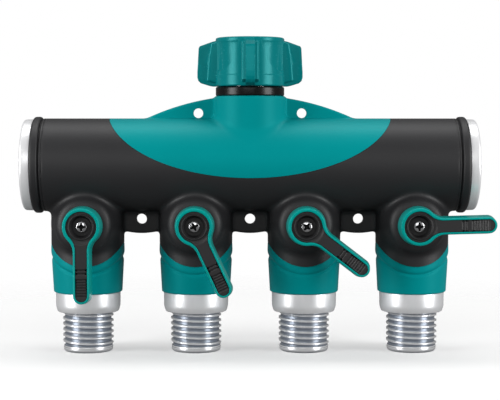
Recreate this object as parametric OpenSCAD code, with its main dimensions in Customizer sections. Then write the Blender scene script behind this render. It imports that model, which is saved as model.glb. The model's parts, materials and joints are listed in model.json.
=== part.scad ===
// Four-way garden hose splitter: a tap swivel, a barrel manifold and four ball valves.
// Millimetres. The origin is on the swivel's axis at its innermost thread crest, +Z
// points up the inlet towards the tap, +X runs along the barrel and the levers face -Y.

/* [Barrel] */
// Distance from the origin down to the barrel's axis
barrel_drop = 53; // [52:0.5:56]
// Outer radius of the barrel's soft cover
barrel_r = 24.8; // [24.5:0.1:25.5]
// Half length of the barrel without its end caps
barrel_half = 115.2; // [113:0.2:120]
// Thickness of each end cap's rim
cap_rim = 5.2; // [3:0.1:7]

/* [Outlets] */
// Distance between neighbouring outlet axes
outlet_pitch = 58; // [57:0.1:59]
// Outer radius of the valve column at its top
column_r = 19.5; // [19:0.1:20]
// Radius of the column at the foot of its sleeve
column_foot_r = 18.3; // [18:0.1:18.8]
// Radius over the crests of the outlet thread
thread_r = 13.5; // [13.3:0.05:13.6]
// Distance between thread crests
thread_pitch = 3; // [2.6:0.1:3.2]
// Depth of the thread
thread_depth = 1.2; // [0.8:0.1:1.3]

/* [Valves] */
// Distance from the barrel's axis down to the valve stems
valve_drop = 31; // [30.5:0.1:31.5]
// Radius of each ball
ball_r = 9.6; // [9.2:0.1:9.8]
// Radius of the port through each ball
port_r = 6.2; // [5:0.1:6.5]
// Lever angle of each valve as stored, 0 is open and straight down
lever_angles = [0, 25, 52.5, 91.5];
// Length of the lever from its pivot to its tip
lever_l = 40.5; // [36:0.5:46]
// Radius of the lever's hub
hub_r = 10.4; // [9.6:0.1:10.8]
// Half width of the lever
lever_w = 4.9; // [4.2:0.1:5.2]

/* [Swivel] */
// Outer radius of the grip between its ribs
grip_r = 18.6; // [18.4:0.1:19]
// Height of the grip
grip_h = 25.8; // [25.5:0.1:27]
// Radius to the foot of each rib
rib_r = 28.2; // [24:0.2:30]

/* [Hidden] */
$fn = 96;

black = "#26272a";
teal = "#058d90";
metal = "#c9ccd0";
nylon = "#e9e6dc";

barrel_z = -barrel_drop;
valve_z = barrel_z - valve_drop;
// how far a cutting tool runs past the faces that it opens
over = 1;
// the core's skin, which the soft cover and the teal mouldings sit on
core_r = barrel_r - 2.2;
bore_r = core_r - 3;
core_column_r = column_r - 3;
pocket_r = 11.5;
stub_r = 15;
// heights of the joints between the mouldings, from the barrel's axis
collar_top = barrel_z + 36.7;
collar_r = 19.1;
collar_edge = 0.6;
neck_ring_r = 18.3;
grip_bottom = -11.2;
sleeve_foot = barrel_z - 68;
ferrule_foot = barrel_z - 78.5;
outlet_foot = barrel_z - 99.8;
thread_turns = 6;
sleeve_h = 32;
sleeve_edge = 0.8;
ferrule_r = 17.3;
outlet_bore_r = 9.2;
outlet_throat_r = port_r + 0.8;
// foot of the groove for the nipple's O-ring
outlet_groove = sleeve_foot + 4;
// the nipple's bore steps down from here to the throat
outlet_bore_top = sleeve_foot + 4;
outlet_throat_foot = sleeve_foot + 8;
// the nose below the thread
nose_h = 3.2;
nose_r = thread_r - 0.2;
// the black part of each column ends on a circle about the valve's stem
cuff_r = 22;
lug_t = 4;
lug_depth = 13;
lug_hole_r = 2.75;
top_lug_hole_r = 2.6;
top_lug_hole_x = 27.6;
top_lug_hole_z = barrel_z + 27.6;
low_lug_hole_z = barrel_z - 28.9;
lug_r = 131;
low_lug_r = 39;
low_lug_foot = barrel_z - 36.6;
low_lug_h = 15;
// the teal panel on the barrel is an ellipse seen from the front
panel_a = 77;
panel_b = 40.3;
panel_z = barrel_z + 34;
// depths along -Y of the valve's pieces
boss_face = 24.2;
boss_r = 12.2;
core_boss_r = 9;
core_boss_face = 22;
// the boss flares towards the column behind it
flare_r = 16.6;
flare_foot = 10;
flare_h = 11.4;
lever_back = 26.5;
hub_back = 24.6;
lever_face = 35.5;
inlay_t = 1.6;
// the lever's rim is this wide round the hub and along the arm
hub_rim = 2.4;
arm_rim = 1.8;
lever_fillet = 8;
// the hub is stepped in behind the lever, and the inlay behind its face
hub_step = 0.4;
cup_outer_r = hub_r - hub_rim - hub_step;
cup_r = 6;
cup_floor = 31;
// the inlay's own floor, which the screw clamps to the lever
inlay_floor_t = 0.8;
// the stem's square ends level with the floor of the lever's own recess
drive_top = cup_floor - inlay_floor_t;
stem_r = 4;
// the stem shoulder and the bush that keeps it in start outside the ball pocket
shoulder = pocket_r + 0.2;
shoulder_t = 1.3;
bush_foot = shoulder + shoulder_t + 0.1;
bush_r = 5.6;
drive_a = 5.2;
stem_seal_depths = [16.6, 20.2];
// section of every O-ring, and the groove that each stem seal sits in
seal_r = 0.8;
seal_gap = 0.02;
stem_groove_w = 2;
stem_groove_depth = 1.7;
// the seats reach this far from the ball's centre
seat_reach = 7.6;
seat_t = 3.4;
seat_bore_r = port_r + 0.6;
// the flat tang on the stem that turns the ball
tang_w = 2.6;
tang_l = 6.8;
tang_depth = 2.6;
tang_foot = ball_r - tang_depth;
screw_r = 1.5;
screw_hole_r = 1.7;
screw_l = 5.8;
screw_head_r = 2.9;
screw_rim_t = 1.2;
screw_dome_t = 0.9;
cross_l = 3.4;
cross_w = 0.8;
// the swivel's thread, cut to clear the outlet thread of a second splitter
insert_r = 16.2;
// the grip turns in over the insert at both ends by this height
grip_lip = 2.2;
grip_edge = 0.9;
grip_core_r = 17;
rib_t = 7.2;
// the grip's lip over the mouth of the insert
mouth_t = 1;
insert_crest_r = thread_r - thread_depth;
insert_root_r = thread_r + 0.1;
nipple_r = 11.4;
nipple_flange_r = 12.9;
washer_r = 13.1;
washer_t = 3;
// height of the washer's sealing face
seal_z = -1;
flange_t = 2.3;
flange_z = seal_z - washer_t - 0.1 - flange_t;
female_foot = seal_z + 0.7;
waterway_r = 8.5;
female_turns = 4;
screen_t = 0.6;
screen_pitch = 1.8;
screen_hole_r = 0.65;
// the plug of each end cap, and how far its face is dished
plug_l = 13;
plug_wall = 3;
plug_face = 0.6;
dish = 0.8;
// the O-ring groove in the plug
cap_groove = 5.8;
groove_w = 2.2;
groove_depth = 1.6;
// the turned-over bead at each end of the cover
bead_r = 1.8;
bead_step = 0.9;
bead_inset = 2.2;
// the groove beside the bead
end_groove_inset = 5;
end_groove_w = 1.4;
end_groove_depth = 0.5;
slack = 0.05;

function outlet_x(n) = (n - 2.5) * outlet_pitch;
function ellipse(a, b, steps) =
  [for (i = [0:steps - 1]) let (turn = 360 * i / steps) [a * cos(turn), b * sin(turn)]];
module along_x(x) translate([x, 0, barrel_z]) rotate([0, 90, 0]) children();
module at_end(side, x) mirror([side < 0 ? 1 : 0, 0, 0]) along_x(x) children();
module facing_front(x, z) translate([x, 0, z]) rotate([90, 0, 0]) children();
module at_outlet(n) translate([outlet_x(n), 0, 0]) children();
// the frame of one valve: +Y points down the open lever, +Z out of the front
module at_valve(n) facing_front(outlet_x(n), valve_z) rotate(180 + lever_angles[n - 1]) children();
module ring(r, tube, z = 0) translate([0, 0, z]) rotate_extrude() translate([r, 0]) circle(tube, $fn = 32);
module tube(outer, inner, foot, top) translate([0, 0, foot]) difference() {
  cylinder(h = top - foot, r = outer);
  translate([0, 0, -over]) cylinder(h = top - foot + 2 * over, r = inner);
}
// a hole from front to back through the flanges
module lug_hole(x, z, r) facing_front(x, z) translate([0, 0, -lug_t]) cylinder(h = 2 * lug_t, r = r);
// a round tool through the whole body, front to back
module cuff(x) facing_front(x, valve_z) translate([0, 0, -barrel_r]) cylinder(h = 2 * barrel_r, r = cuff_r);

// ---- the body ----

module column(n, r) at_outlet(n) translate([0, 0, sleeve_foot]) cylinder(h = barrel_z - sleeve_foot, r = r);

module core_skin() {
  along_x(-barrel_half) cylinder(h = 2 * barrel_half, r = core_r);
  translate([0, 0, barrel_z]) cylinder(h = collar_top - barrel_z, r = stub_r);
  for (n = [1:4]) {
    column(n, core_column_r);
    facing_front(outlet_x(n), valve_z) cylinder(h = core_boss_face, r = core_boss_r);
  }
}

module manifold_core() color(metal) difference() {
  core_skin();
  along_x(-barrel_half - over) cylinder(h = 2 * (barrel_half + over), r = bore_r);
  translate([0, 0, barrel_z]) cylinder(h = barrel_drop, r = nipple_r);
  for (n = [1:4]) {
    at_outlet(n) translate([0, 0, sleeve_foot - over])
      cylinder(h = valve_z + seat_reach - sleeve_foot + over, r = pocket_r);
    at_outlet(n) translate([0, 0, valve_z]) cylinder(h = valve_drop, r = seat_bore_r);
    facing_front(outlet_x(n), valve_z) cylinder(h = core_boss_face + over, r = bush_r);
  }
}

module lug_holes() {
  for (x = [-1, 1]) lug_hole(x * top_lug_hole_x, top_lug_hole_z, top_lug_hole_r);
  for (x = [-1:1]) lug_hole(x * outlet_pitch, low_lug_hole_z, lug_hole_r);
}

module panel_cut() facing_front(0, panel_z) translate([0, 0, -barrel_r - over])
  linear_extrude(2 * (barrel_r + over)) polygon(ellipse(panel_a, panel_b, 72));

// one web between two columns, with a shallow bowed foot
module low_web(x) facing_front(x, low_lug_foot) translate([0, 0, -lug_t / 2]) linear_extrude(lug_t)
  intersection() {
    translate([0, low_lug_r]) circle(low_lug_r);
    translate([-outlet_pitch / 2, -over]) square([outlet_pitch, low_lug_h + over]);
  }

module barrel_skin() {
  along_x(-barrel_half) cylinder(h = 2 * barrel_half, r = barrel_r);
  for (side = [-1, 1]) along_x(side * (barrel_half - bead_inset)) ring(barrel_r - bead_step, bead_r);
}

module body_cover() color(black) difference() {
  union() {
    barrel_skin();
    for (x = [-1:1]) low_web(x * outlet_pitch);
    intersection() {
      for (n = [1:4]) column(n, column_r);
      for (n = [1:4]) cuff(outlet_x(n));
    }
    for (n = [1:4]) facing_front(outlet_x(n), valve_z) {
      cylinder(h = boss_face, r = boss_r);
      translate([0, 0, flare_foot]) cylinder(h = flare_h, r1 = flare_r, r2 = boss_r + 1);
    }
  }
  core_skin();
  panel_cut();
  lug_holes();
  for (n = [1:4]) facing_front(outlet_x(n), valve_z) cylinder(h = boss_face + over, r = bush_r);
  for (side = [-1, 1]) along_x(side * (barrel_half - end_groove_inset)) difference() {
    translate([0, 0, -end_groove_w / 2]) cylinder(h = end_groove_w, r = barrel_r + over);
    translate([0, 0, -end_groove_w]) cylinder(h = 2 * end_groove_w, r = barrel_r - end_groove_depth);
  }
}

module inlet_saddle() color(teal) difference() {
  union() {
    intersection() {
      along_x(-barrel_half) cylinder(h = 2 * barrel_half, r = barrel_r);
      panel_cut();
    }
    translate([0, 0, barrel_z]) cylinder(h = collar_top - barrel_z - collar_edge, r = collar_r);
    translate([0, 0, collar_top - collar_edge])
      cylinder(h = collar_edge, r1 = collar_r, r2 = collar_r - collar_edge);
    facing_front(0, collar_top - lug_r) translate([0, 0, -lug_t / 2]) linear_extrude(lug_t) intersection() {
      circle(lug_r, $fn = 180);
      translate([-panel_a, lug_r - lug_depth]) square([2 * panel_a, lug_depth + over]);
    }
  }
  core_skin();
  lug_holes();
}

module neck_ring() color(black) tube(neck_ring_r, nipple_r, collar_top, grip_bottom - 0.2);

// the tailpiece that the swivel turns on
module inlet_nipple() color(metal) difference() {
  union() {
    translate([0, 0, barrel_z + bore_r])
      cylinder(h = flange_z - barrel_z - bore_r + flange_t / 2, r = nipple_r);
    translate([0, 0, flange_z]) cylinder(h = flange_t, r = nipple_flange_r);
  }
  translate([0, 0, barrel_z]) cylinder(h = barrel_drop, r = waterway_r);
}

// a turned plug with an O-ring groove, and a rim with an eased edge over the end of the barrel
module end_cap(side) color(metal) at_end(side, barrel_half) rotate_extrude() {
  rim_r = barrel_r - 0.4;
  difference() {
    polygon([[0, plug_face], [0, cap_rim - dish], [rim_r - 5.6, cap_rim - dish], [rim_r - 4.2, cap_rim],
      [rim_r - 1.7, cap_rim], [rim_r - 0.5, cap_rim - 0.5], [rim_r, cap_rim - 1.7], [rim_r, 0], [bore_r, 0],
      [bore_r, -plug_l], [bore_r - plug_wall, -plug_l], [bore_r - plug_wall, plug_face]]);
    translate([bore_r - groove_depth, -cap_groove - groove_w]) square([groove_depth + over, groove_w]);
  }
}

module end_seal(side) color(black) at_end(side, barrel_half - cap_groove - groove_w / 2)
  ring(bore_r - seal_r - seal_gap, seal_r - seal_gap);

// ---- the swivel ----

// one rib's outline, from inside the round body out to the rib's foot and up to its top
rib_outline = [[grip_core_r, 0.6], [rib_r - 5, 0.4], [rib_r - 1.2, 3.4], [rib_r, 7],
  [rib_r - 1.7, grip_h - 4.8], [grip_r + 0.6, grip_h - 1.8], [grip_core_r, grip_h - 1.8]];

module swivel_grip() color(teal) translate([0, 0, grip_bottom]) difference() {
  union() {
    cylinder(h = grip_edge, r1 = grip_r - grip_edge, r2 = grip_r);
    translate([0, 0, grip_edge]) cylinder(h = grip_h - 2 * grip_edge, r = grip_r);
    translate([0, 0, grip_h - grip_edge]) cylinder(h = grip_edge, r1 = grip_r, r2 = grip_r - grip_edge);
    for (a = [0:90:270]) rotate([90, 0, a]) translate([0, 0, -rib_t / 2])
      linear_extrude(rib_t) polygon(rib_outline);
  }
  translate([0, 0, -over]) cylinder(h = grip_h + 2 * over, r = insert_r - grip_lip);
  translate([0, 0, grip_lip]) cylinder(h = grip_h - grip_lip - mouth_t, r = insert_r);
}

// one turn of the female thread from its upper root to its lower one, as radius and height
female_turn = [[insert_root_r, 1.9], [insert_crest_r, 1.4], [insert_crest_r, 0.1], [insert_root_r, -0.4]];

module swivel_insert() color(metal) rotate_extrude() polygon(concat(
  [[insert_r, grip_bottom + grip_lip], [insert_r, grip_bottom + grip_h - mouth_t],
    [insert_root_r + 0.3, grip_bottom + grip_h - mouth_t]],
  [for (i = [female_turns - 1:-1:0]) for (p = female_turn) [p[0], female_foot + i * thread_pitch + p[1]]],
  [[insert_root_r, flange_z - slack], [nipple_r + slack, flange_z - slack],
    [nipple_r + slack, grip_bottom + grip_lip]]));

module inlet_washer() color(black) tube(washer_r, waterway_r, seal_z - washer_t, seal_z);

module filter_screen() color(metal) translate([0, 0, seal_z - washer_t + 1]) difference() {
  cylinder(h = screen_t, r = waterway_r);
  for (x = [-4:4], y = [-4:4]) if (norm([x, y]) * screen_pitch < waterway_r - screen_hole_r - 0.3)
    translate([x * screen_pitch, y * screen_pitch, -over])
      cylinder(h = screen_t + 2 * over, r = screen_hole_r, $fn = 16);
}

// ---- the outlets ----

module outlet_sleeve(n) color(teal) at_outlet(n) difference() {
  translate([0, 0, sleeve_foot]) union() {
    cylinder(h = sleeve_edge, r1 = column_foot_r - sleeve_edge, r2 = column_foot_r);
    translate([0, 0, sleeve_edge]) cylinder(h = sleeve_h - sleeve_edge, r1 = column_foot_r, r2 = column_r);
  }
  translate([0, 0, sleeve_foot - over]) cylinder(h = sleeve_h + 2 * over, r = core_column_r);
  cuff(0);
}

// one turn of the thread, from its upper root to its lower one, as radius and depth below the ferrule
male_turn = [[-thread_depth, 0.5], [0, 1.2], [0, 1.9], [-thread_depth, 2.6]];

module outlet_nipple(n) color(metal) at_outlet(n) difference() {
  rotate_extrude() polygon(concat(
    [[outlet_throat_r, valve_z - seat_reach], [pocket_r, valve_z - seat_reach], [pocket_r, sleeve_foot],
      [ferrule_r, sleeve_foot], [ferrule_r - 0.2, ferrule_foot + 1.2], [ferrule_r - 0.6, ferrule_foot + 0.3],
      [ferrule_r - 1.5, ferrule_foot], [thread_r - thread_depth, ferrule_foot]],
    [for (i = [0:thread_turns - 1]) for (p = male_turn)
      [thread_r + p[0], ferrule_foot - i * thread_pitch - p[1]]],
    [[nose_r, outlet_foot + nose_h], [nose_r, outlet_foot + 0.9], [nose_r - 0.8, outlet_foot],
      [outlet_bore_r, outlet_foot], [outlet_bore_r, outlet_bore_top],
      [outlet_throat_r, outlet_throat_foot]]));
  translate([0, 0, outlet_groove]) difference() {
    cylinder(h = groove_w, r = pocket_r + over);
    translate([0, 0, -over]) cylinder(h = groove_w + 2 * over, r = pocket_r - groove_depth);
  }
}

module outlet_seal(n) color(black) at_outlet(n)
  ring(pocket_r - seal_r - seal_gap, seal_r - seal_gap, outlet_groove + groove_w / 2);

// ---- the valves ----

// one seat under the ball and one over it
module valve_seats(n) color(nylon) at_outlet(n) translate([0, 0, valve_z]) for (up = [0, 1])
  mirror([0, 0, up]) difference() {
    translate([0, 0, -seat_reach]) cylinder(h = seat_t, r = pocket_r);
    translate([0, 0, -seat_reach - over]) cylinder(h = seat_reach, r = seat_bore_r);
    sphere(ball_r + slack);
  }

module stem_bush(n) color(nylon) facing_front(outlet_x(n), valve_z)
  tube(bush_r, stem_r + slack, bush_foot, core_boss_face + 1);

module valve_ball(n) color("silver") at_valve(n) difference() {
  sphere(ball_r);
  rotate([90, 0, 0]) translate([0, 0, -ball_r]) cylinder(h = 2 * ball_r, r = port_r);
  translate([-tang_w / 2, -ball_r, tang_foot]) cube([tang_w, 2 * ball_r, tang_depth + over]);
}

// the square that carries the lever's turn to the stem
module drive(foot, top) translate([-drive_a / 2, -drive_a / 2, foot]) cube([drive_a, drive_a, top - foot]);

module valve_stem(n) color("gold") at_valve(n) difference() {
  union() {
    translate([-tang_w / 2, -tang_l / 2, tang_foot])
      cube([tang_w, tang_l, shoulder - tang_foot + shoulder_t / 2]);
    translate([0, 0, shoulder]) cylinder(h = shoulder_t, r = bush_r - 0.2);
    translate([0, 0, shoulder + shoulder_t / 2])
      cylinder(h = boss_face - shoulder - shoulder_t / 2, r = stem_r);
    drive(boss_face - over, drive_top);
  }
  for (d = stem_seal_depths) translate([0, 0, d - stem_groove_w / 2]) difference() {
    cylinder(h = stem_groove_w, r = stem_r + over);
    translate([0, 0, -over]) cylinder(h = stem_groove_w + 2 * over, r = stem_r - stem_groove_depth);
  }
  translate([0, 0, cup_floor - screw_l - 0.2]) cylinder(h = screw_l + over, r = screw_r);
}

module stem_seals(n) color(black) at_valve(n) for (d = stem_seal_depths) ring(stem_r - seal_r, seal_r, d);

// part of a circle about a centre, without its last point
function arc(centre, r, from, to, steps) =
  [for (i = [0:steps - 1]) let (a = from + (to - from) * i / steps) centre + r * [cos(a), sin(a)]];

// the lever's outline seen from the front: a round hub, an arm of half width w and the fillets between
module lever_outline(hub = hub_r, w = lever_w, fillet = lever_fillet) {
  side = w + fillet;
  reach = sqrt((hub + fillet) * (hub + fillet) - side * side);
  turn = atan2(reach, side);
  tip = lever_l - lever_w;
  polygon(concat(
    arc([0, 0], hub, 180 - turn, 360 + turn, 40),
    arc([side, reach], fillet, 180 + turn, 180, 8),
    arc([0, tip], w, 0, 180, 16),
    [[-w, tip]],
    arc([-side, reach], fillet, 0, -turn, 8)));
}

module inlay_outline() lever_outline(hub_r - hub_rim, lever_w - arm_rim, lever_fillet + arm_rim);

module lever(n) color(teal) at_valve(n) difference() {
  union() {
    translate([0, 0, hub_back]) cylinder(h = lever_back - hub_back + over, r = hub_r - hub_step);
    translate([0, 0, lever_back]) linear_extrude(lever_face - lever_back) lever_outline();
  }
  translate([0, 0, lever_face - inlay_t]) linear_extrude(inlay_t + over) inlay_outline();
  translate([0, 0, drive_top]) cylinder(h = lever_face - drive_top, r = cup_outer_r);
  drive(hub_back - over, drive_top + over);
}

module lever_inlay(n) color(black) at_valve(n) difference() {
  union() {
    translate([0, 0, lever_face - inlay_t]) linear_extrude(inlay_t) inlay_outline();
    translate([0, 0, drive_top]) cylinder(h = lever_face - inlay_t / 2 - drive_top, r = cup_outer_r);
  }
  translate([0, 0, cup_floor]) cylinder(h = lever_face - cup_floor + over, r = cup_r);
  translate([0, 0, drive_top - over]) cylinder(h = inlay_floor_t + 2 * over, r = screw_hole_r);
}

module lever_screw(n) color("silver") at_valve(n) difference() {
  union() {
    translate([0, 0, cup_floor - screw_l]) cylinder(h = screw_l + screw_rim_t / 2, r = screw_r);
    translate([0, 0, cup_floor]) cylinder(h = screw_rim_t, r = screw_head_r);
    translate([0, 0, cup_floor + screw_rim_t])
      cylinder(h = screw_dome_t, r1 = screw_head_r, r2 = screw_head_r - 1.1);
  }
  for (a = [0, 90]) rotate(a) translate([-cross_l / 2, -cross_w / 2, cup_floor + screw_rim_t / 2])
    cube([cross_l, cross_w, screw_rim_t / 2 + screw_dome_t + over]);
}

manifold_core();
body_cover();
inlet_saddle();
neck_ring();
inlet_nipple();
end_cap(-1);  // end_cap_left
end_cap(1);  // end_cap_right
end_seal(-1);  // end_seal_left
end_seal(1);  // end_seal_right
swivel_grip();
swivel_insert();
inlet_washer();
filter_screen();
for (n = [1:4]) {
  outlet_sleeve(n);
  outlet_nipple(n);
  outlet_seal(n);
  valve_seats(n);
  stem_bush(n);
  valve_ball(n);
  valve_stem(n);
  stem_seals(n);
  lever(n);
  lever_inlay(n);
  lever_screw(n);
}
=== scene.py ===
"""Four-way garden hose splitter: a barrel manifold on a tap swivel, with four ball valves and their levers.

Shapes are worked out in millimetres in the part's own frame, and go to metres when they become meshes.
"""
import json
import math

import bmesh
import bpy
import numpy as np
import openvdb
from mathutils import Matrix, Vector


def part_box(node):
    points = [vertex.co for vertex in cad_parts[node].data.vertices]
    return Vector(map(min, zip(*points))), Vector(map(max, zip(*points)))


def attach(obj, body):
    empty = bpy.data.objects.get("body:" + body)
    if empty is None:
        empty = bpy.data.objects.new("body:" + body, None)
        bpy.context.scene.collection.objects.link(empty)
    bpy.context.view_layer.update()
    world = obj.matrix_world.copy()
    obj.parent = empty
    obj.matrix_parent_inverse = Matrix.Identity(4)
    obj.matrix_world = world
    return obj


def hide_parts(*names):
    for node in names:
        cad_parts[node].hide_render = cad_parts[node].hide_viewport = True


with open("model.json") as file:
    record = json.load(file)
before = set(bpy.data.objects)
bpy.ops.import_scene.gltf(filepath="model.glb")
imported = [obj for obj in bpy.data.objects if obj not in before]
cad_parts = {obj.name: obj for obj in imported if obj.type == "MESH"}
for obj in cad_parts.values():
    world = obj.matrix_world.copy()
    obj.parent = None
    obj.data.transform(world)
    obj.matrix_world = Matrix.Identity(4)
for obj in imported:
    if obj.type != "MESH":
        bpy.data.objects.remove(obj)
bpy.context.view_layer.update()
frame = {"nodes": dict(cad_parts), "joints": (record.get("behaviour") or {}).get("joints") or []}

# ---- The barrel's soft cover ----
# A black thermoplastic skin, moulded over the metal manifold: the barrel, the tops of the four valve
# columns with their bosses, and the webs between them. Its two ends are turned over in a bead.
MM = 1000.0
VALVES = (1, 2, 3, 4)


def span(node):
    """The lowest and highest corner of a CAD node, in millimetres."""
    low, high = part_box(node)
    return np.array(low) * MM, np.array(high) * MM


cap_low, cap_high = span("end_cap_right")
axis_z = (cap_low[2] + cap_high[2]) / 2
joints = {joint["name"]: joint for joint in frame["joints"]}
stems = [np.array(joints[f"valve_{n}_turn"]["pos_m"]) * MM for n in VALVES]
stem_z = stems[0][2]
pitch = stems[1][0] - stems[0][0]
barrel_r = 24.8
barrel_half = span("body_cover")[1][0]
core_r = 22.6
column_r = 19.5
column_h = 60
core_column_r = 16.5
cuff_r = 22.0
boss_face = 24.2
boss_r = 12.2
boss_spread = 1.6
boss_slope = 0.3
slope_cosine = 0.96
boss_root = 9
web_t = 4.0
web_top = -15
web_foot = -36.6
web_r = 39.0
web_hole_z = axis_z - 28.9
web_hole_r = 2.75
skirt_half = 24
skirt_top = -38
skirt_foot = -82
rim_start = barrel_half - 5.8
bead_lift = 0.9
bead_groove = 0.8
stem_hole_r = 5.6
parting_gap = 0.08
cut_far = 40


def smooth_min(a, b, blend):
    """The lesser of two distances, where they come within blend of each other eased into a fillet."""
    share = np.clip(0.5 + 0.5 * (b - a) / blend, 0, 1)
    return b + (a - b) * share - blend * share * (1 - share)


def smooth_max(a, b, blend):
    """The greater of two distances, with the edge between them eased off."""
    return -smooth_min(-a, -b, blend)


def cells(low, high, voxel):
    """Open coordinate arrays of the cells of a box, x then y then z."""
    axes = [np.arange(a, b + voxel, voxel) for a, b in zip(low, high)]
    return np.meshgrid(*axes, indexing="ij", sparse=True)


def smooth_shading(mesh, sharp=35):
    """Smooth shading, broken where faces meet at more than an angle in degrees."""
    mesh.shade_smooth()
    mesh.set_sharp_from_angle(angle=math.radians(sharp))


def finish_mesh(mesh, name, sharp=35):
    """Merges doubled points, turns faces outwards and shades the mesh; returns it as an object."""
    edit = bmesh.new()
    edit.from_mesh(mesh)
    bmesh.ops.remove_doubles(edit, verts=edit.verts, dist=2e-6)
    bmesh.ops.recalc_face_normals(edit, faces=edit.faces)
    edit.to_mesh(mesh)
    edit.free()
    smooth_shading(mesh, sharp)
    piece = bpy.data.objects.new(name, mesh)
    bpy.context.scene.collection.objects.link(piece)
    return piece


def mesh_of_field(name, distance, low, voxel):
    """The surface where a field of distances on a box of cells is nought."""
    grid = openvdb.FloatGrid(float(distance.max()))
    grid.copyFromArray(np.ascontiguousarray(distance, np.float32))
    points, triangles, quads = grid.convertToPolygons(0.0, 0.0)
    mesh = bpy.data.meshes.new(name)
    mesh.from_pydata((points * voxel + low) / MM, [], triangles.tolist() + quads.tolist())
    return finish_mesh(mesh, name)


def surface(name, points, loop_u=True, loop_v=False, sharp=35):
    """A skin over a grid of points: rows go round in u and along in v, joined up where they loop."""
    rows, columns = points.shape[:2]
    u = np.arange(rows if loop_u else rows - 1)
    v = np.arange(columns if loop_v else columns - 1)
    u, v = (a.ravel() for a in np.meshgrid(u, v, indexing="ij"))
    u2, v2 = (u + 1) % rows, (v + 1) % columns
    faces = np.stack([u * columns + v, u2 * columns + v, u2 * columns + v2, u * columns + v2], 1)
    mesh = bpy.data.meshes.new(name)
    mesh.from_pydata(points.reshape(-1, 3) / MM, [], faces.tolist())
    return finish_mesh(mesh, name, sharp)


def eased(corners, cut, steps=6, loop=False):
    """A path through corners in which a curve starts cut short of each corner and ends cut past it."""
    corners = np.array(corners, float)
    cuts = np.broadcast_to(cut, len(corners))
    before, after = np.roll(corners, 1, 0), np.roll(corners, -1, 0)
    t = np.linspace(0, 1, steps)[:, None]
    path = []
    for i, (corner, back, on) in enumerate(zip(corners, before, after)):
        if not loop and i in (0, len(corners) - 1) or cuts[i] == 0:
            path.append(corner[None])
            continue
        ends = []
        for other in (back, on):
            reach = np.linalg.norm(other - corner)
            ends.append(corner + (other - corner) * min(cuts[i] / reach, 0.49))
        path.append((1 - t) ** 2 * ends[0] + 2 * t * (1 - t) * corner + t ** 2 * ends[1])
    return np.concatenate(path)


def revolve(name, path, centre=(0, 0, 0), axis=2, steps=128, loop=False, sharp=35):
    """A profile of radius and height carried round an axis: 0, 1 or 2 for X, Y or Z."""
    turn = np.linspace(0, 2 * np.pi, steps, endpoint=False)[:, None]
    points = np.empty((steps, len(path), 3))
    points[..., (axis + 1) % 3] = np.cos(turn) * path[:, 0]
    points[..., (axis + 2) % 3] = np.sin(turn) * path[:, 0]
    points[..., axis] = path[:, 1]
    return surface(name, points + np.array(centre, float), loop_v=loop, sharp=sharp)


def rod(name, r, centre, axis, low, high, steps=128):
    """A plain round bar about an axis, for cutting."""
    return revolve(name, np.array([[0, low], [r, low], [r, high], [0, high]]), centre, axis, steps)


def prism(name, outline, low, high):
    """An outline of x and z carried along Y, for cutting."""
    depth = np.array([low, low, high, high], float)
    middle = outline.mean(0)
    points = np.empty((len(outline), 4, 3))
    points[:, :, 1] = depth
    for column, share in enumerate((0, 1, 1, 0)):
        points[:, column, [0, 2]] = middle + (outline - middle) * share
    return surface(name, points)


def carve(piece, tool, operation="DIFFERENCE"):
    """Cuts tool from piece, joins it on, or keeps what both hold, and does away with tool."""
    cut = piece.modifiers.new("cut", "BOOLEAN")
    cut.operation = operation
    cut.solver = "MANIFOLD"
    cut.object = tool
    shaped = piece.evaluated_get(bpy.context.evaluated_depsgraph_get())
    piece.data = bpy.data.meshes.new_from_object(shaped)
    piece.modifiers.clear()
    bpy.data.objects.remove(tool)


panel_half = 77
panel_drop = 40.3
panel_middle_z = axis_z + 34


def panel_outline(grow=0.0):
    """The ellipse that bounds the teal panel, seen from the front."""
    turn = np.linspace(0, 2 * np.pi, 240, endpoint=False)
    across = (panel_half + grow) * np.cos(turn)
    return np.stack([across, panel_middle_z + (panel_drop + grow) * np.sin(turn)], 1)


core_half = 130
core_inlet_r = 15
core_inlet_h = 60
core_column_h = 90
core_boss_r = 9
core_boss_face = 22


def cut_core(piece):
    """Takes the metal manifold's own space out of a skin that is moulded over it."""
    carve(piece, rod("core_barrel", core_r, (0, 0, axis_z), 0, -core_half, core_half))
    carve(piece, rod("core_inlet", core_inlet_r, (0, 0, axis_z), 2, 0, core_inlet_h))
    for stem in stems:
        carve(piece, rod("core_column", core_column_r, (stem[0], 0, axis_z), 2, -core_column_h, 0))
        carve(piece, rod("core_boss", core_boss_r, stem, 1, -core_boss_face, 0))


def cover_skin():
    """Barrel, columns, bosses and webs as distances, run together with fillets."""
    voxel = 0.85
    margin = 4 * voxel
    low = np.array([-rim_start - margin, -30, axis_z - 62])
    x, y, z = cells(low, [rim_start + margin, 30, axis_z + 29], voxel)
    up = z - axis_z
    body = np.hypot(y, up) - barrel_r + 0 * x
    from_column = x - pitch * (np.clip(np.round(x / pitch - 0.5), -2, 1) + 0.5)
    column = smooth_max(np.hypot(from_column, y) - column_r, up + 0 * x, 2)
    body = smooth_min(body, np.maximum(column, -up - column_h), 2.5)
    depth = -y
    cone_r = boss_r + boss_spread + boss_slope * (boss_face - depth)
    cone = (np.hypot(from_column, z - stem_z) - cone_r) * slope_cosine
    boss = smooth_max(smooth_max(cone, depth - boss_face, 4), boss_root - depth, 1)
    body = smooth_min(body, boss, 3)
    across = x - pitch * np.clip(np.round(x / pitch), -1, 1)
    bow = np.hypot(across, up - web_foot - web_r) - web_r
    web = smooth_max(smooth_max(bow, np.abs(y) - web_t / 2, 0.8), np.abs(across) - pitch / 2, 1)
    body = smooth_min(body, smooth_max(web, up - web_top, 1), 2)
    return mesh_of_field("body_cover_skin", np.maximum(body, np.abs(x) - rim_start), low, voxel)


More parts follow.
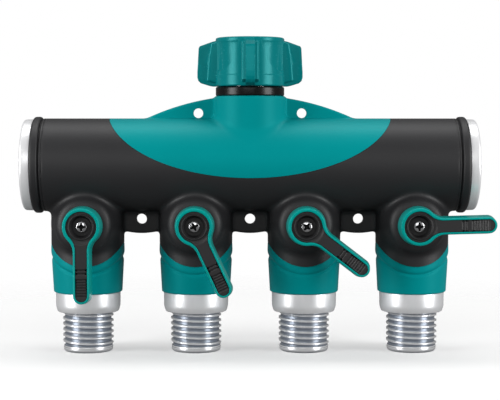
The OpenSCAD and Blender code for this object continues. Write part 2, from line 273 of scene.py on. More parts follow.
cover = cover_skin()
for side in (-1, 1):
    bead = eased([[core_r, rim_start - 0.4], [barrel_r, rim_start - 0.4], [barrel_r, rim_start + 0.5],
                  [barrel_r - bead_groove, rim_start + 0.9], [barrel_r - bead_groove, rim_start + 1.3],
                  [barrel_r + bead_lift, rim_start + 1.7], [barrel_r + bead_lift, barrel_half - 0.6],
                  [barrel_r - 0.6, barrel_half], [core_r, barrel_half]],
                 [0, 0, 0.3, 0.3, 0.3, 1.2, 1.2, 0.5, 0], 8)
    bead[:, 1] *= side
    carve(cover, revolve("bead", bead, (0, 0, axis_z), 0, 192, loop=True), "UNION")
carve(cover, prism("panel", panel_outline(parting_gap), -cut_far, cut_far))
cut_core(cover)
for stem in stems:
    skirt = np.array([[-skirt_half, skirt_foot], [skirt_half, skirt_foot],
                      [skirt_half, skirt_top], [-skirt_half, skirt_top]])
    sleeve_room = prism("sleeve_room", skirt + [stem[0], axis_z], -cut_far, cut_far)
    carve(sleeve_room, rod("cuff", cuff_r, stem, 1, -cut_far - 5, cut_far + 5, 192))
    carve(cover, sleeve_room)
    carve(cover, rod("stem_hole", stem_hole_r, stem, 1, -cut_far, -15, 64))
for n in (-1, 0, 1):
    carve(cover, rod("web_hole", web_hole_r, (n * pitch, 0, web_hole_z), 1, -10, 10, 64))
smooth_shading(cover.data)


def srgb(text, alpha=1.0):
    """A hex colour as the linear values that a shader takes."""
    part = np.array([int(text[i:i + 2], 16) for i in (1, 3, 5)]) / 255
    linear = np.where(part <= 0.04045, part / 12.92, ((part + 0.055) / 1.055) ** 2.4)
    return (*linear.tolist(), alpha)


def add_node(owner, kind, settings=(), inputs=(), links=()):
    """Adds a shader node to a material or the world, sets its properties and inputs, and links it."""
    tree = owner.node_tree
    node = tree.nodes.new(kind)
    for key, value in dict(settings).items():
        setattr(node, key, value)
    for key, value in dict(inputs).items():
        node.inputs[key].default_value = value
    for key, source in dict(links).items():
        tree.links.new(source, node.inputs[key])
    return node


def new_material(name, **sockets):
    """A material with one Principled shader whose sockets are set; returns the material and the shader."""
    material = bpy.data.materials.new(name)
    material.use_nodes = True
    shader = material.node_tree.nodes["Principled BSDF"]
    for key, value in sockets.items():
        shader.inputs[key.replace("_", " ")].default_value = value
    return material, shader


def moulded(name, dark, light, rough, texture_mm, lift_mm, **sockets):
    """Moulded plastic: faint clouding between two near colours, and the mould's own grain as bump."""
    material, shader = new_material(name, Roughness=rough, **sockets)
    link = material.node_tree.links.new
    place = add_node(material, "ShaderNodeTexCoord")
    cloud = add_node(material, "ShaderNodeTexNoise", inputs={"Scale": MM / 22, "Detail": 3.0},
                     links={"Vector": place.outputs["Object"]})
    tint = add_node(material, "ShaderNodeMix", {"data_type": "RGBA"},
                    {"A": srgb(dark), "B": srgb(light)}, {"Factor": cloud.outputs["Fac"]})
    link(tint.outputs["Result"], shader.inputs["Base Color"])
    grain = add_node(material, "ShaderNodeTexNoise", inputs={"Scale": MM / texture_mm, "Detail": 2.0},
                     links={"Vector": place.outputs["Object"]})
    bump = add_node(material, "ShaderNodeBump", inputs={"Strength": 0.5, "Distance": lift_mm / MM},
                    links={"Height": grain.outputs["Fac"]})
    link(bump.outputs["Normal"], shader.inputs["Normal"])
    worn = add_node(material, "ShaderNodeMapRange", inputs={"To Min": rough - 0.05, "To Max": rough + 0.06},
                    links={"Value": grain.outputs["Fac"]})
    link(worn.outputs["Result"], shader.inputs["Roughness"])
    return material


# Thermoplastic elastomer from a finely spark-eroded mould: near black, with a broad dull sheen.
cover_black = moulded("matt_black_elastomer", "#18181a", "#1d1d1f", 0.52, 0.9, 0.035,
                      Specular_IOR_Level=0.45)


def dress(piece, material, body, slot, *nodes):
    """Gives a piece its material, says what it rides on and hides the CAD nodes it stands for; slot is not
    used.
    """
    piece.data.materials.clear()
    piece.data.materials.append(material)
    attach(piece, body)
    if nodes:
        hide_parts(*nodes)


dress(cover, cover_black, "manifold", "black_cover", "body_cover")

# ---- The teal saddle ----
# A second shot of satin ABS over the middle of the barrel: a panel with an elliptical edge front and
# back, the collar that rises to the inlet, and a thin bowed flange with two screw holes.
collar_r = 19.1
collar_top = 36.7
flange_r = 131.0
flange_t = 4.0
flange_lift = 0.4
flange_foot = 10
flange_hole_r = 2.6
flange_hole_at = 27.6


def saddle_skin():
    """Panel, collar and flange as distances, run together with fillets."""
    voxel = 0.6
    low = np.array([-80.0, -28, axis_z - 9])
    x, y, z = cells(low, [80, 28, axis_z + 40], voxel)
    up = z - axis_z
    body = np.hypot(y, up) - barrel_r + 0 * x
    collar = smooth_max(np.hypot(x, y) - collar_r, up - collar_top, 1.2)
    collar = np.maximum(collar, -up)
    bow = np.hypot(x, up - collar_top + flange_r - flange_lift) - flange_r
    flange = smooth_max(bow, np.abs(y) - flange_t / 2, 0.9)
    flange = np.maximum(flange, flange_foot - up)
    body = smooth_min(smooth_min(body, collar, 3), flange, 0.8)
    return mesh_of_field("inlet_saddle_skin", body, low, voxel)


saddle = saddle_skin()
carve(saddle, prism("panel", panel_outline(-parting_gap), -cut_far, cut_far), "INTERSECT")
cut_core(saddle)
for side in (-1, 1):
    hole = (side * flange_hole_at, 0, axis_z + flange_hole_at)
    carve(saddle, rod("flange_hole", flange_hole_r, hole, 1, -10, 10, 64))
smooth_shading(saddle.data)
# Satin ABS: an even teal with a soft highlight.
teal_abs = moulded("satin_teal_abs", "#008487", "#008a8d", 0.45, 0.7, 0.02, Specular_IOR_Level=0.3,
                   Specular_Tint=srgb("#40f4f4"))
dress(saddle, teal_abs, "manifold", "teal_moulding", "inlet_saddle")

# ---- The neck ring ----
# A polished black acetal ring between the collar and the swivel, turned with eased corners.
neck_low, neck_high = span("neck_ring")
neck_bore_r = 11.4
neck_ring_r = 18.3
neck_path = eased([[neck_bore_r, neck_low[2]], [neck_ring_r - 0.4, neck_low[2]],
                   [neck_ring_r, neck_low[2] + 0.5], [neck_ring_r, neck_high[2] - 0.6],
                   [neck_ring_r - 0.6, neck_high[2]], [neck_bore_r, neck_high[2]]],
                  [0, 0.3, 0.3, 0.4, 0.4, 0], loop=True)
neck = revolve("neck_ring_turned", neck_path, loop=True)
# Polished acetal: black with clear reflections.
gloss_black = moulded("polished_black_acetal", "#060607", "#0a0a0b", 0.26, 1.2, 0.004,
                      Specular_IOR_Level=0.3)
dress(neck, gloss_black, "manifold", "gloss_black", "neck_ring")

# ---- The end caps ----
# Two turned aluminium caps close the barrel. Each rim is rolled over outside the cover's bead, and the
# face is dished a little. A plug with an O-ring reaches into the barrel.
def turned(name, colour, rough, line_mm, lift_mm, axis, metallic=1.0):
    """Turned metal: fine tool lines in rings about an axis, with roughness that varies from line to line.

    A metallic share below one stands for the light that a blasted surface throws all ways.
    """
    material, shader = new_material(name, Metallic=metallic, Roughness=rough)
    link = material.node_tree.links.new
    place = add_node(material, "ShaderNodeTexCoord")
    split = add_node(material, "ShaderNodeSeparateXYZ", links={"Vector": place.outputs["Object"]})
    lines = add_node(material, "ShaderNodeTexNoise", {"noise_dimensions": "1D"},
                     {"Scale": MM / line_mm, "Detail": 4.0}, {"W": split.outputs[axis]})
    shade = add_node(material, "ShaderNodeMapRange", inputs={"To Min": rough - 0.07, "To Max": rough + 0.1},
                     links={"Value": lines.outputs["Fac"]})
    link(shade.outputs["Result"], shader.inputs["Roughness"])
    bump = add_node(material, "ShaderNodeBump", inputs={"Strength": 0.35, "Distance": lift_mm / MM},
                    links={"Height": lines.outputs["Fac"]})
    link(bump.outputs["Normal"], shader.inputs["Normal"])
    blotch = add_node(material, "ShaderNodeTexNoise", inputs={"Scale": MM / 9, "Detail": 2.0},
                      links={"Vector": place.outputs["Object"]})
    tint = add_node(material, "ShaderNodeMix", {"data_type": "RGBA"},
                    {"A": srgb(colour), "B": srgb("#f4f4f5")}, {"Factor": blotch.outputs["Fac"]})
    link(tint.outputs["Result"], shader.inputs["Base Color"])
    return material


# Turned aluminium, degreased and left bare: bright, with soft streaks along the tool lines.
cap_metal = turned("turned_aluminium_caps", "#f0f1f3", 0.3, 0.5, 0.02, "X", 0.4)
bore_r = 19.6
plug_l = 13
groove_r = bore_r - 1.6
dish_depth = 0.8
rim_t = cap_high[0] - barrel_half
for side, name in ((-1, "left"), (1, "right")):
    cap_path = eased([[0, 0.6], [bore_r - 3, 0.6], [bore_r - 3, -plug_l], [bore_r, -plug_l], [bore_r, -8],
                      [groove_r, -8], [groove_r, -5.8], [bore_r, -5.8], [bore_r, 0],
                      [barrel_r - 0.4, 0], [barrel_r - 0.6, rim_t], [barrel_r - 5, rim_t],
                      [barrel_r - 6, rim_t - dish_depth + 0.1], [0, rim_t - dish_depth]],
                     [0, 0.3, 0.3, 0.5, 0.2, 0.2, 0.2, 0.2, 0.2, 0.3, 1.5, 0.6, 0.6, 0])
    cap_path[:, 1] = side * (cap_path[:, 1] + barrel_half)
    cap = revolve(f"end_cap_{name}_turned", cap_path, (0, 0, axis_z), 0, 192)
    dress(cap, cap_metal, "manifold", "machined_aluminium", f"end_cap_{name}")

# ---- The outlet sleeves ----
# A teal ABS sleeve is moulded round the lower part of each column. Its top follows the round edge of
# the black cuff with a plain lip, and a shallow groove runs below the lip.
sleeve_foot = span("outlet_sleeve_1")[0][2]
foot_r = 18.3
foot_edge = 0.7
taper_h = 22
groove_drop = 4.4
groove_depth = 0.55
lip_depth = 0.35
swell_drop = 2.2
swell = 0.1


def sleeve_grid(stem_x):
    """Round the column in u; in v up the outside from the foot to the cuff's circle, and back down inside."""
    turn = np.linspace(0, 2 * np.pi, 256, endpoint=False)[:, None]
    side = np.abs(np.cos(turn)) * column_r
    top = stem_z - np.sqrt(cuff_r ** 2 - side ** 2)
    rise = 1 - np.linspace(1, 0, 80)[None] ** 1.3
    height = sleeve_foot + rise * (top - sleeve_foot)
    over_foot = height - sleeve_foot
    taper = foot_r + (column_r - foot_r) * np.clip(over_foot / taper_h, 0, 1)
    foot = foot_edge * (1 - np.sqrt(1 - (1 - over_foot / foot_edge).clip(0, 1) ** 2))
    below = np.hypot(np.cos(turn) * taper, height - stem_z) - cuff_r
    groove = groove_depth * np.exp(-((below - groove_drop) / 0.75) ** 2)
    lip = lip_depth * np.clip(1 - below / 0.5, 0, 1) ** 2
    outer_r = taper - foot - groove - lip + swell * np.exp(-((below - swell_drop) / 1.4) ** 2)
    inner_h = np.concatenate([top, np.full_like(top, sleeve_foot)], 1)
    radius = np.concatenate([outer_r, np.full((256, 2), core_column_r)], 1)
    height = np.concatenate([height, inner_h], 1)
    return np.stack([stem_x + radius * np.cos(turn), radius * np.sin(turn), height], 2)


for n, stem in zip(VALVES, stems):
    sleeve = surface(f"outlet_sleeve_{n}_moulded", sleeve_grid(stem[0]), loop_v=True, sharp=40)
    dress(sleeve, teal_abs, "manifold", "teal_moulding", f"outlet_sleeve_{n}")

# ---- The outlet nipples ----
# Turned aluminium: a smooth ferrule under the sleeve, then the standard garden hose thread, and a
# short plain pilot. The thread is a true helix that runs out at both ends.
thread_r = 13.5
thread_depth = 1.15
thread_pitch = 3.0
crest_level = 1.55
flank_slope = 5.2
run_out = 0.9
root_r = thread_r - thread_depth
pilot_r = thread_r - 0.35
ferrule_r = 17.3
ferrule_foot = axis_z - 78.5
outlet_foot = span("outlet_nipple_1")[0][2]
thread_top = ferrule_foot - 0.4
thread_foot = outlet_foot + 3.4


def thread_grid(x, top, foot, base_r, depth, steps=192, rows=200):
    """A helix cut in a round bar: the crest's share at a height shifts by one pitch with each turn."""
    turn = np.linspace(0, 2 * np.pi, steps, endpoint=False)[:, None]
    height = np.linspace(top, foot, rows)[None]
    phase = (height / thread_pitch + turn / (2 * np.pi)) % 1
    tooth = np.clip(crest_level - np.abs(phase - 0.5) * flank_slope, 0, 1)
    tooth = tooth * tooth * (3 - 2 * tooth)
    ends = np.clip(np.minimum(top - height, height - foot) / run_out, 0, 1)
    radius = base_r + depth * tooth * ends
    return np.stack([x + radius * np.cos(turn), radius * np.sin(turn), height + 0 * turn], 2)


def ring_rows(path, x, steps=192):
    """A profile of radius and height carried round the outlet's axis, as grid rows."""
    turn = np.linspace(0, 2 * np.pi, steps, endpoint=False)[:, None]
    return np.stack([x + np.cos(turn) * path[:, 0], np.sin(turn) * path[:, 0], path[:, 1] + 0 * turn], 2)


# Turned aluminium: satin on the ferrule, and smoother and brighter where the thread was rolled.
nipple_metal = turned("satin_aluminium_ferrules", "#e6e8eb", 0.36, 0.4, 0.006, "Z", 0.5)
thread_metal = turned("rolled_aluminium_threads", "#e2e5ea", 0.27, 0.6, 0.004, "Z", 0.66)
# The thread's roots are painted grey and its crests near white: painted shade in the hollows of the thread.
crest = add_node(thread_metal, "ShaderNodeAttribute", {"attribute_name": "crest"})
thread_root_shade = add_node(thread_metal, "ShaderNodeMix", {"data_type": "RGBA"},
                       {"A": srgb("#9098a4"), "B": srgb("#f4f5f7")}, {"Factor": crest.outputs["Fac"]})
thread_metal.node_tree.links.new(thread_root_shade.outputs["Result"],
                                 thread_metal.node_tree.nodes["Principled BSDF"].inputs["Base Color"])
neck_r = 7.0
pocket_r = 11.5
seat_z = stem_z - 7.6
outlet_bore_r = 9.2
for n, stem in zip(VALVES, stems):
    upper = eased([[neck_r, seat_z], [pocket_r, seat_z], [pocket_r, sleeve_foot], [ferrule_r, sleeve_foot],
                   [ferrule_r - 0.1, ferrule_foot + 3], [ferrule_r - 1.0, ferrule_foot],
                   [root_r, ferrule_foot], [root_r, thread_top]],
                  [0, 0.4, 0.2, 0.35, 1.0, 0.8, 0.3, 0])
    lower = eased([[root_r, thread_foot], [pilot_r, thread_foot - 0.3], [pilot_r, outlet_foot + 1],
                   [thread_r - 1.2, outlet_foot], [outlet_bore_r + 0.5, outlet_foot],
                   [outlet_bore_r, outlet_foot + 0.6], [outlet_bore_r, sleeve_foot + 4],
                   [neck_r, sleeve_foot + 8]],
                  [0, 0.3, 0.5, 0.5, 0.3, 0.3, 0, 0])
    thread = thread_grid(stem[0], thread_top, thread_foot, root_r, thread_depth)
    rows = np.concatenate([ring_rows(upper, stem[0]), thread[:, 1:-1], ring_rows(lower, stem[0])], 1)
    nipple = surface(f"outlet_nipple_{n}_turned", rows, loop_v=True, sharp=50)
    dress(nipple, nipple_metal, "manifold", "machined_aluminium", f"outlet_nipple_{n}")
    nipple.data.materials.append(thread_metal)
    # A point's share from root to crest sets how much painted shade it takes.
    crest_share = nipple.data.attributes.new("crest", "FLOAT", "POINT")
    for point, share in zip(nipple.data.vertices, crest_share.data):
        from_axis = math.hypot(point.co.x * MM - stem[0], point.co.y * MM)
        share.value = (from_axis - root_r) / (pilot_r - root_r)
    for face in nipple.data.polygons:
        face.material_index = int(face.center.z * MM < thread_top)

# ---- The swivel grip ----
# Teal ABS, moulded round the threaded insert: a round grip with four fins to turn it by, a scooped
# finger rest between each two fins, and a plain band round its foot.
grip_low, grip_high = span("swivel_grip")
grip_r = 18.6
insert_r = 16.2
grip_lip = 2.2
grip_edge = 0.9
fin_half = 2.4
lobe_half = 4.7
lobe_squareness = 14.0
band_h = 6.2
band_lift = 0.3
hollow_depth = 1.5


def grip_grid(steps=720, rows=120):
    """Radius over angle and height: the greatest of a round body, four thick lobes and the fins on them.

    A hollow drops into the body above a line that sweeps down from beside the front and back fins.
    """
    turn = np.linspace(0, 2 * np.pi, steps, endpoint=False)[:, None]
    tall = grip_high[2] - grip_low[2]
    up = np.linspace(0, tall, rows)[None]
    from_fin = np.abs((np.degrees(turn) + 45) % 90 - 45)
    from_front = np.abs((np.degrees(turn) + 180) % 180 - 90)
    fin_tip = np.interp(up[0], [0, 0.9, 1.7, 3, 4.7, 7.6, 20.3, 21.3, 23.6, 24.4],
                        [20.8, 23.5, 26.2, 27.6, 28.1, 28.1, 27.4, 26.9, 20.6, grip_r - 1])[None]
    lobe_tip = np.interp(up[0], [1.6, 3.2, 15, 22.6, 24], [grip_r - 1, 23.4, 22.5, 21.2, grip_r - 1])[None]
    aside = np.sin(np.radians(np.maximum(from_fin, 0.5)))
    fin = np.minimum(fin_tip, fin_half / aside)
    lobe = lobe_tip ** -lobe_squareness + (lobe_half / aside) ** -lobe_squareness
    lobe = lobe ** (-1 / lobe_squareness)
    line = 7.8 + 12.5 * np.exp(-(from_front - 21.6) / 12)
    inside = np.clip((up - line) / 0.5, 0, 1)
    fade_up = np.clip((23.6 - up) / 14, 0, 1) ** 0.6
    fade_round = np.clip((78 - from_front) / 16, 0, 1)
    hollow = hollow_depth * inside * fade_up * fade_round
    band = band_lift * np.clip((band_h - up) / 0.4, 0, 1)
    body = grip_r - band_lift + band - hollow
    over_edge = np.clip(grip_edge - np.minimum(up, tall - up), 0, grip_edge)
    ease = grip_edge - np.sqrt(np.clip(grip_edge ** 2 - over_edge ** 2, 0, None))
    radius = np.maximum(np.maximum(body, lobe), fin) - ease
    outer = np.stack([radius * np.cos(turn), radius * np.sin(turn), grip_low[2] + up + 0 * turn], 2)
    mouth = grip_high[2] - 1
    inner = np.array([[insert_r - grip_lip, grip_high[2]], [insert_r - grip_lip, mouth], [insert_r, mouth],
                      [insert_r, grip_low[2] + grip_lip], [insert_r - grip_lip, grip_low[2] + grip_lip],
                      [insert_r - grip_lip, grip_low[2]]])
    return np.concatenate([outer, ring_rows(inner, 0, steps)], 1)


grip = surface("swivel_grip_moulded", grip_grid(), loop_v=True, sharp=30)
# The same ABS from a polished mould: glossier than the saddle, with tight highlights.
grip_abs = moulded("glossy_teal_abs", "#007477", "#007a7d", 0.25, 1.4, 0.004, Specular_IOR_Level=0.45,
                   Specular_Tint=srgb("#78f6f6"))
dress(grip, grip_abs, "swivel", "teal_moulding", "swivel_grip")

# ---- The levers ----
# A teal ABS lever with a rounded rim is held on each stem's square by a screw. A matt black inlay
# fills its face, with a raised ring round the screw's cup and grip ribs towards the tip.
hub_r = 10.4
arm_w = 4.9
fillet_r = 8.0
lever_back = 26.5
hub_back = 24.6
lever_face = 35.5
cup_floor = 31.0
cup_r = 6.0
drive_r = 3.2
lever_l = 40.5
draft = 0.7
edge_r = 0.7
hub_rim = 2.4
arm_rim = 1.8
inlay_floor = 30.2
inlay_t = 1.6
seat_r = 7.6
screw_hole_r = 1.7
hub_step_r = 10.0
back_edge_r = 0.8
seat_edge_r = 0.35
fit_gap = 0.05
ring_r = 6.35
ring_h = 0.75
rib_start = 26.6
rib_end = 36.4
rib_pitch = 1.4
rib_depth = 0.45


def lever_outline(inset=0.0, hub=hub_r, half=arm_w, fillet=fillet_r):
    """The lever's edge about the pivot, drawn in by inset: hub arc, fillet, side, round tip, side, fillet."""
    hub, half, fillet = hub - inset, half - inset, fillet + inset
    side = half + fillet
    reach = math.sqrt((hub + fillet) ** 2 - side ** 2)
    turn = math.atan2(reach, side)
    tip = lever_l - arm_w

    def arc(x, y, r, start, end, steps):
        angle = np.linspace(start, end, steps, endpoint=False)
        return np.stack([x + r * np.cos(angle), y + r * np.sin(angle)], 1)

    def line(x, start, end, steps):
        along = np.linspace(start, end, steps, endpoint=False)
        return np.stack([np.full(steps, x), along], 1)

    return np.concatenate([
        arc(0, 0, hub, math.pi - turn, 2 * math.pi + turn, 72),
        arc(side, reach, fillet, math.pi + turn, math.pi, 12),
        line(half, reach, tip, 40),
        arc(0, tip, half, 0, math.pi, 24),
        line(-half, tip, reach, 40),
        arc(-side, reach, fillet, 0, -turn, 12)])


def inlay_outline(inset=0.0):
    """The inlay's edge inside the lever's rim, drawn in by inset."""
    return lever_outline(inset, hub_r - hub_rim, arm_w - arm_rim, fillet_r + arm_rim)


def at_valve(points, n):
    """From the lever's own frame, arm along +Y and face along +Z, to its place and rest angle on a valve."""
    stem = stems[n - 1]
    rest = math.pi - math.radians(joints[f"valve_{n}_turn"]["range_deg"][0])
    x, y, out = points[..., 0], points[..., 1], points[..., 2]
    return np.stack([stem[0] + x * math.cos(rest) - y * math.sin(rest), -out,
                     stem[2] + x * math.sin(rest) + y * math.cos(rest)], -1)


def rings_to_grid(rings):
    """Rings of x, y and height as one grid, with the ring's points in u."""
    return np.stack(rings, 1)


def with_height(flat, height):
    """An outline of x and y lifted to a height, one value or one for each point."""
    return np.concatenate([flat, np.broadcast_to(height, len(flat))[:, None]], 1)


def circle(r):
    """Points on a circle at the bearings of the lever's edge, so that it joins the edge without a twist."""
    edge = lever_outline(0)
    return r * edge / np.linalg.norm(edge, axis=1)[:, None]


def lever_rings():
    """Up the square hole, out over the back, up the side, over the rim and down into the inlay's seat."""
    def back(flat):
        far = np.clip((np.linalg.norm(flat, axis=1) - hub_step_r) / 1.2, 0, 1)
        return hub_back + (lever_back - hub_back) * far * far * (3 - 2 * far)

    rings = [with_height(circle(drive_r), inlay_floor), with_height(circle(drive_r), hub_back)]
    for share in (0.35, 0.7, 0.9):
        flat = circle(drive_r) * (1 - share) + lever_outline(back_edge_r) * share
        rings.append(with_height(flat, back(flat)))
    for angle in np.linspace(0, math.pi / 2, 6):
        flat = lever_outline(back_edge_r - back_edge_r * math.sin(angle))
        rings.append(with_height(flat, back(flat) + back_edge_r * (1 - math.cos(angle))))
    for angle in np.linspace(0, math.pi / 2, 8):
        rings.append(with_height(lever_outline(draft + edge_r * (1 - math.cos(angle))),
                                 lever_face - edge_r * (1 - math.sin(angle))))
    for angle in np.linspace(0, math.pi / 2, 5):
        rings.append(with_height(inlay_outline(seat_edge_r * math.sin(angle) - seat_edge_r),
                                 lever_face - seat_edge_r * (1 - math.cos(angle))))
    rings.append(with_height(inlay_outline(), lever_face - inlay_t))
    rings.append(with_height(circle(seat_r), lever_face - inlay_t))
    rings.append(with_height(circle(seat_r), inlay_floor))
    return rings


def inlay_face(flat):
    """Height of the inlay: a raised ring round the cup in a sunk hub, and ribs across the arm by its tip."""
    from_pivot = np.linalg.norm(flat, axis=1)
    ring = ring_h * np.exp(-((from_pivot - ring_r) / 0.4) ** 4)
    along = flat[:, 1]
    sunk = 0.55 * np.clip((9.2 - from_pivot) / 1.2, 0, 1)
    groove = np.zeros(len(flat))
    for place in (22.2, 24.0):
        groove += np.exp(-((along - place) / 0.3) ** 2)
    pad = np.clip((along - rib_start) / 0.5, 0, 1) * np.clip((rib_end - along) / 0.5, 0, 1)
    ribs = 0.5 - 0.5 * np.cos((along - rib_start) * 2 * np.pi / rib_pitch)
    return lever_face - 0.4 - sunk + ring - 0.5 * groove - pad * rib_depth * ribs


def inlay_rings():
    """Out under the inlay from the screw's hole, up its edge, in over its face and down into its cup."""
    edge = inlay_outline(fit_gap)
    face_edge = inlay_outline(0.25)
    rings = [with_height(circle(screw_hole_r), inlay_floor),
             with_height(circle(seat_r - fit_gap), inlay_floor),
             with_height(circle(seat_r - fit_gap), lever_face - inlay_t),
             with_height(edge, lever_face - inlay_t),
             with_height(edge, inlay_face(face_edge) - 0.2)]
    for share in np.linspace(1, 0, 120):
        flat = circle(7.0) * (1 - share) + face_edge * share
        rings.append(with_height(flat, inlay_face(flat)))
    for r in np.linspace(6.95, cup_r, 14):
        flat = circle(r)
        rings.append(with_height(flat, inlay_face(flat)))
    rings.append(with_height(circle(cup_r - 0.3), lever_face - 1.2))
    rings.append(with_height(circle(cup_r - 0.7), cup_floor + 0.6))
    rings.append(with_height(circle(cup_r - 1.3), cup_floor))
    rings.append(with_height(circle(screw_hole_r), cup_floor))
    return rings


# The lever's ABS comes from a bright mould, so its rim catches the light.
lever_abs = moulded("bright_teal_abs", "#008d87", "#00958d", 0.3, 1.2, 0.01, Specular_IOR_Level=0.35,
                    Specular_Tint=srgb("#80f8f8"))
# Elastomer inlay: matt black, darker than the cover.
inlay_black = moulded("matt_black_inlay", "#161617", "#1d1d1e", 0.5, 0.6, 0.02)
for n in VALVES:
    shell = at_valve(rings_to_grid(lever_rings()), n)
    lever = surface(f"lever_{n}_moulded", shell, loop_v=True, sharp=40)
    dress(lever, lever_abs, f"valve_{n}", "teal_moulding", f"lever_{n}")
    filling = at_valve(rings_to_grid(inlay_rings()), n)
    inlay = surface(f"lever_inlay_{n}_moulded", filling, loop_v=True, sharp=40)
    dress(inlay, inlay_black, f"valve_{n}", "black_cover", f"lever_inlay_{n}")

# ---- The lever screws ----
# A cross-head screw of bright zinc-plated steel sits in each cup, with a domed head.
screw_head_r = 2.9
recess_r = 2.3
recess_depth = 2.6
slot_half = 0.36
shank_r = 1.5
shank_l = 5.8


def screw_rings():
    """Rings from the shank's end to the head's rim and over its dome, with the cross sunk into the dome."""
    turn = np.linspace(0, 2 * np.pi, 96, endpoint=False)
    spoke = np.stack([np.cos(turn), np.sin(turn)], 1)
    foot = cup_floor - shank_l
    side = ((0, foot), (shank_r - 0.3, foot), (shank_r, foot + 0.5), (shank_r, cup_floor),
            (screw_head_r - 0.2, cup_floor), (screw_head_r, cup_floor + 0.2), (screw_head_r, cup_floor + 0.8))
    rings = [with_height(spoke * r, height) for r, height in side]
    for r in np.linspace(screw_head_r - 0.08, 0, 44):
        flat = spoke * r
        dome = cup_floor + 0.9 + 1.2 * math.sqrt(1 - (r / (screw_head_r + 0.3)) ** 2)
        arm = np.minimum(np.abs(flat[:, 0]), np.abs(flat[:, 1]))
        wide = slot_half + 0.9 * max(1 - r / 2.2, 0) ** 1.4
        sunk = np.clip((wide - arm) / 0.12, 0, 1) * np.clip((recess_r - r) / 0.2, 0, 1)
        rings.append(with_height(flat, dome - recess_depth * sunk))
    return rings


# Zinc plate: cool and bright, with a slight haze.
zinc = turned("zinc_plated_steel", "#c6c8cc", 0.2, 0.6, 0.004, "Y")
# The cross recess is painted near black: painted shade, where the recess falls dark.
painted_recess_shade = new_material("painted_shade_recess", Metallic=0.2, Roughness=0.8, Base_Color=srgb("#121213"))[0]
for n in VALVES:
    screw = surface(f"lever_screw_{n}_headed", at_valve(rings_to_grid(screw_rings()), n), sharp=40)
    dress(screw, zinc, f"valve_{n}", "plated_metal", f"lever_screw_{n}")
    screw.data.materials.append(painted_recess_shade)
    # Faces sunk in the cross take the painted shade.
    for face in screw.data.polygons:
        x, y, z = face.center * MM
        from_pivot = math.hypot(x - stems[n - 1][0], z - stem_z)
        face.material_index = int(from_pivot < recess_r and cup_floor - 1 < -y < cup_floor + 1.2)

# ---- The threaded insert ----
# A plated nut inside the grip with the female hose thread, which screws onto the tap.
insert_low, insert_high = span("swivel_insert")
female_root_r = 13.6
female_depth = 1.25
insert_bore_r = 11.45


def insert_grid():
    """The female helix from the washer's seat up to the mouth, closed round the outside and the flange."""
    thread_start = insert_low[2] + 3.2
    female = thread_grid(0, insert_high[2] - 0.6, thread_start, female_root_r, -female_depth)
    outer = np.array([[female_root_r, thread_start - 0.2], [insert_bore_r, thread_start - 0.3],
                      [insert_bore_r, insert_low[2]], [insert_r, insert_low[2]], [insert_r, insert_high[2]],
                      [female_root_r + 0.7, insert_high[2]]])
    return np.concatenate([female, ring_rows(outer, 0)], 1)


insert = surface("swivel_insert_turned", insert_grid(), loop_v=True, sharp=50)
dress(insert, zinc, "swivel", "plated_metal", "swivel_insert")

# ---- What stays as the frame holds it ----
# Inner pieces whose shape is right already: castings, seals, seats, bushes, stems, balls and the screen.
# Sand-blasted zinc casting, dull and slightly rough.
cast_metal = turned("die_cast_zinc", "#9d9fa3", 0.42, 2.5, 0.03, "Z")
# Nitrile rubber, matt with a faint bloom.
nitrile = moulded("nitrile_rubber", "#111112", "#1a1a1b", 0.6, 0.5, 0.02)
# Natural nylon, milky and slightly soft in its gloss.
nylon = moulded("natural_nylon", "#ddd8ca", "#e8e4d8", 0.42, 0.8, 0.01)
# Free-machining brass.
brass = turned("turned_brass", "#c9a24b", 0.25, 0.4, 0.01, "Y")
finishes = {"manifold_core": cast_metal, "inlet_nipple": zinc, "end_seal": nitrile, "inlet_washer": nitrile,
            "filter_screen": zinc, "outlet_seal": nitrile, "valve_seats": nylon, "stem_bush": nylon,
            "valve_ball": zinc, "valve_stem": brass, "stem_seals": nitrile}
for name, node in frame["nodes"].items():
    for start, material in finishes.items():
        if name.startswith(start):
            node.data.materials.clear()
            node.data.materials.append(material)

# ---- Floor, light and camera ----
# A pale seamless floor under four soft studio panels: a broad one overhead, a weaker one far in front,
# and one to each side. A long lens looks on from the front, a little above the barrel.
bpy.context.scene.view_settings.view_transform = "Standard"
floor_mesh = bpy.data.meshes.new("floor")
far = 6.0
floor_mesh.from_pydata([(-far, -far, 0), (far, -far, 0), (far, far, 0), (-far, far, 0)], [], [(0, 1, 2, 3)])
floor_mesh.transform(Matrix.Translation((0, 0, outlet_foot / MM)))
floor = bpy.data.objects.new("floor", floor_mesh)
bpy.context.scene.collection.objects.link(floor)
floor_paint, floor_shader = new_material("matt_white_floor", Roughness=0.9, Base_Color=srgb("#ffffff"))
floor_mesh.materials.append(floor_paint)
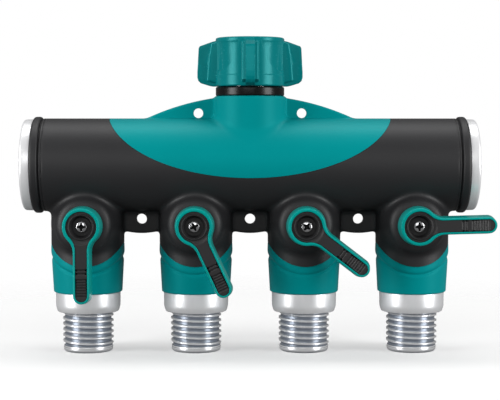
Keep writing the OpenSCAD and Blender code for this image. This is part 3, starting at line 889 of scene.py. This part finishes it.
# The floor clears into the white of the studio away from the object, and throws no light back at it.
floor_place = add_node(floor_paint, "ShaderNodeTexCoord")
floor_reach = add_node(floor_paint, "ShaderNodeVectorMath", {"operation": "LENGTH"})
floor_paint.node_tree.links.new(floor_place.outputs["Object"], floor_reach.inputs[0])
floor_fade = add_node(floor_paint, "ShaderNodeMapRange",
                      inputs={"From Min": 0.1, "From Max": 0.42, "To Min": 0.82, "To Max": 0.0},
                      links={"Value": floor_reach.outputs["Value"]})
floor_paint.node_tree.links.new(floor_fade.outputs["Result"], floor_shader.inputs["Alpha"])
floor.visible_glossy = False
floor.visible_diffuse = False

# The studio's walls look white, but give only a little of the light.
world = bpy.data.worlds.new("studio")
bpy.context.scene.world = world
world.use_nodes = True
paths = add_node(world, "ShaderNodeLightPath")
level = add_node(world, "ShaderNodeMapRange", inputs={"To Min": 0.16, "To Max": 1.0},
                 links={"Value": paths.outputs["Is Camera Ray"]})
background = world.node_tree.nodes["Background"]
background.inputs["Color"].default_value = (1, 1, 1, 1)
world.node_tree.links.new(level.outputs["Result"], background.inputs["Strength"])


def look_from(thing, place, aim):
    """Puts a light or the camera at a place, in millimetres, turned towards a point."""
    thing.location = Vector(place) / MM
    way = Vector(np.array(aim, float) - np.array(place, float))
    thing.rotation_euler = way.to_track_quat("-Z", "Y").to_euler()


def panel_light(name, place, width, height, watts):
    """A soft rectangular light that faces the middle of the object."""
    lamp = bpy.data.lights.new(name, "AREA")
    lamp.shape = "RECTANGLE"
    lamp.size = width / MM
    lamp.size_y = height / MM
    lamp.energy = watts
    thing = bpy.data.objects.new(name, lamp)
    bpy.context.scene.collection.objects.link(thing)
    look_from(thing, place, (0, 0, axis_z))


panel_light("overhead", (0, 150, 800), 1200, 400, 6)
panel_light("front", (-100, -1200, 350), 800, 500, 2.6)
panel_light("left", (-800, -430, 100), 420, 750, 7)
panel_light("right", (800, -430, 100), 420, 750, 7)

shot = bpy.data.cameras.new("camera")
camera = bpy.data.objects.new("camera", shot)
bpy.context.scene.collection.objects.link(camera)
bpy.context.scene.camera = camera
camera_distance = 760
view_width = 268
shot.sensor_width = 36
shot.lens = shot.sensor_width * camera_distance / view_width
look_from(camera, (-6, -camera_distance, axis_z + 22), (0, 0, axis_z - 18.9))
